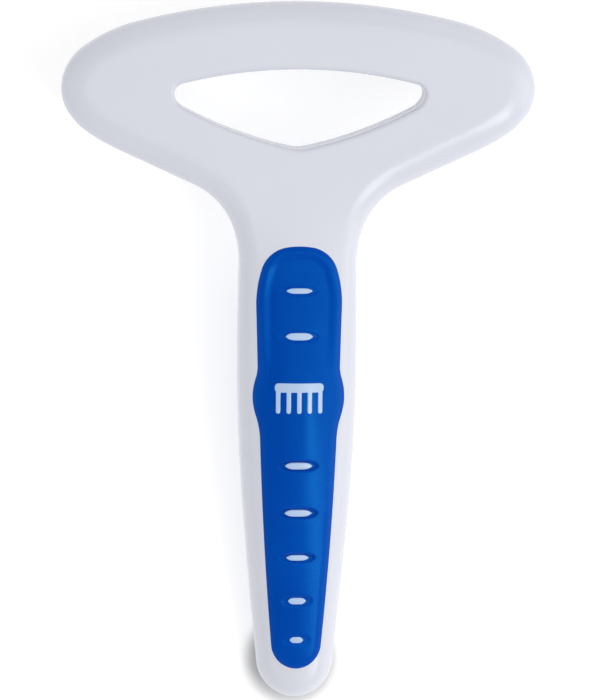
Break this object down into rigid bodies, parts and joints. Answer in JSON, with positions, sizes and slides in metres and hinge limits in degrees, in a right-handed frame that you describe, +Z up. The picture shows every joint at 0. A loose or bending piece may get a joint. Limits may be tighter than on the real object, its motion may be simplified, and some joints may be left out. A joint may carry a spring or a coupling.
{
  "type": "undercoat rake",
  "caption": "Undercoat grooming rake: curved head with an open three-sided window and a row of rounded steel pins, moulded handle with rubber thumb and finger grips.",
  "frame": {"origin": "centre of the bounding box's bottom face, on the surface the tool lies on", "axes": "+X across the head to the right seen from above, +Y from the handle's tip to the head, +Z up, out of the back; the pins point down"},
  "size_m": [0.1198, 0.1768, 0.0339],
  "materials": {
    "shell": "gloss",
    "retainer": "matte",
    "grip": "satin",
    "pin": "polished"
  },
  "bodies": {
    "root": {"back_shell": "shell", "pin_side_shell": "shell", "pin_retainer": "retainer", "thumb_grip": "grip", "finger_grip": "grip", "pin_01": "pin", "pin_02": "pin", "pin_03": "pin", "pin_04": "pin", "pin_05": "pin", "pin_06": "pin", "pin_07": "pin", "pin_08": "pin", "pin_09": "pin", "pin_10": "pin", "pin_11": "pin", "pin_12": "pin", "pin_13": "pin", "pin_14": "pin", "pin_15": "pin", "pin_16": "pin", "pin_17": "pin", "pin_18": "pin", "pin_19": "pin", "pin_20": "pin", "pin_21": "pin"}
  },
  "joints": []
}
